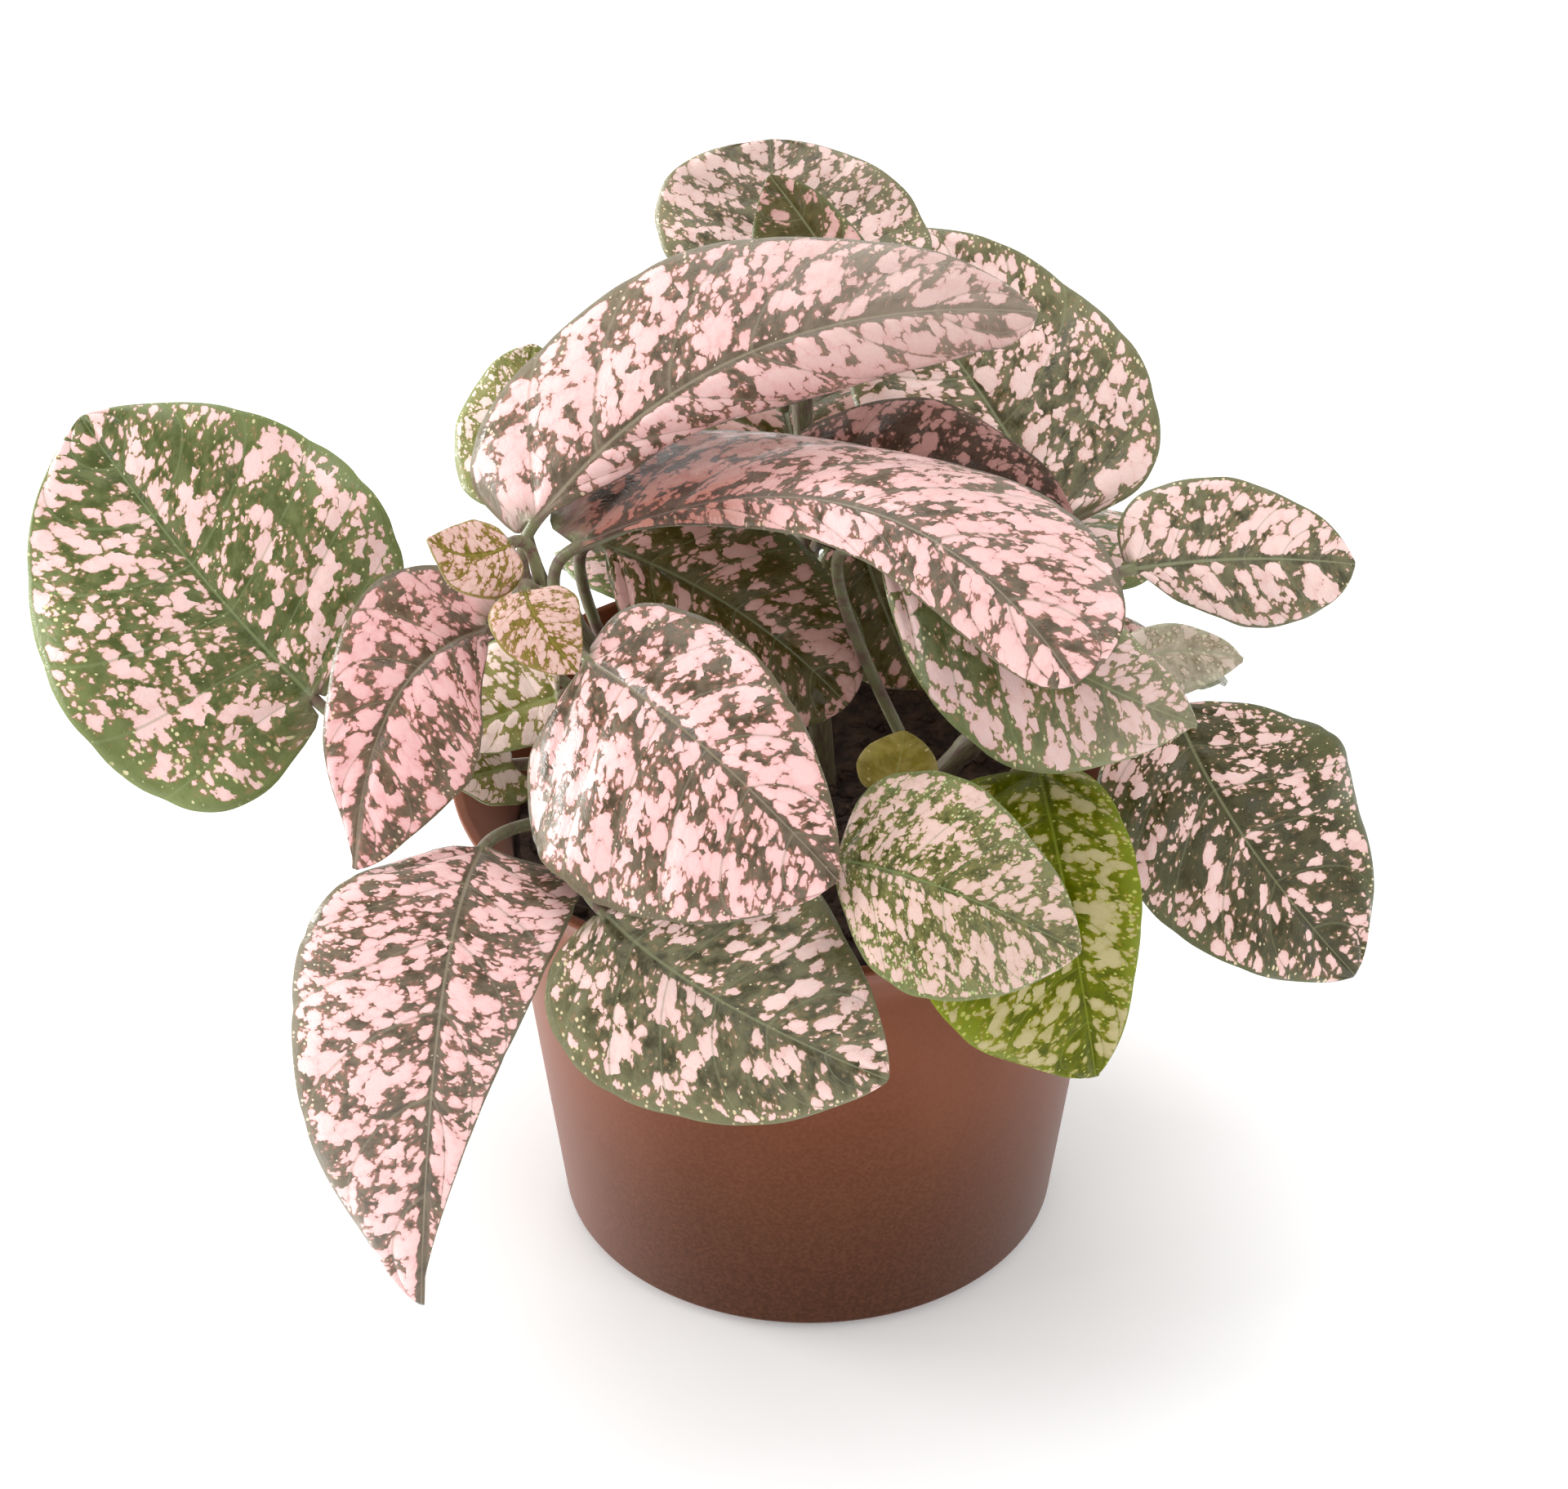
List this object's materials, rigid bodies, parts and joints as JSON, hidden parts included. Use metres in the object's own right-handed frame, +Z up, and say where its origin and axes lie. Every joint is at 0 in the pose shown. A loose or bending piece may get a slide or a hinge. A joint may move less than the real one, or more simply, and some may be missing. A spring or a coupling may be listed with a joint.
{
  "type": "potted polka dot plant",
  "caption": "Bushy house plant with pink-splashed green leaves, growing in soil in a small round brown plastic pot.",
  "frame": {"origin": "middle of the pot's flat underside, on the surface where it stands", "axes": "+Z up along the pot's axis, -Y towards the viewer of the picture, +X to that viewer's right"},
  "size_m": [0.1657, 0.1287, 0.1334],
  "materials": {
    "pot": "satin moulded plastic, brown",
    "soil": "matt crumbly compost, dark brown",
    "stem": "satin, olive with a reddish tinge",
    "leaf_dark": "satin, dark grey-green splashed with pale pink",
    "leaf_mid": "satin, mid green splashed with pale pink",
    "leaf_lime": "satin, lime green splashed with cream",
    "leaf_pale": "satin, pale grey-green splashed with pink",
    "leaf_young": "satin, pale yellow-green with pink stripes"
  },
  "bodies": {
    "root": {"pot": "pot", "soil": "soil", "stem_left": "stem", "stem_crown": "stem", "stem_back": "stem", "stem_right": "stem", "stem_low": "stem", "stem_front": "stem", "leaf_far_left": "leaf_mid", "leaf_curled": "leaf_dark", "leaf_young_left": "leaf_young", "leaf_young_right": "leaf_young", "leaf_tucked_left": "leaf_lime", "leaf_in_pot_left": "leaf_dark", "leaf_hanging_left": "leaf_dark", "leaf_front_centre": "leaf_dark", "leaf_front_low": "leaf_dark", "leaf_crown": "leaf_dark", "leaf_crown_right": "leaf_dark", "leaf_shaded": "leaf_dark", "leaf_back_right": "leaf_dark", "leaf_back_top": "leaf_mid", "leaf_back_small": "leaf_dark", "leaf_back_left": "leaf_lime", "leaf_right_inner": "leaf_mid", "leaf_far_right": "leaf_dark", "leaf_pale": "leaf_pale", "leaf_low_right": "leaf_dark", "leaf_lime": "leaf_lime", "leaf_front_green": "leaf_mid", "leaf_young_low": "leaf_young", "leaf_centre": "leaf_dark", "leaf_centre_dark": "leaf_dark", "leaf_rear_high": "leaf_dark", "leaf_rear_high_right": "leaf_dark", "leaf_rear_high_left": "leaf_mid", "leaf_rear_low": "leaf_dark", "leaf_rear_low_left": "leaf_mid", "leaf_rear_low_right": "leaf_mid", "leaf_rear_right": "leaf_dark", "leaf_rear_left": "leaf_dark"}
  },
  "joints": []
}
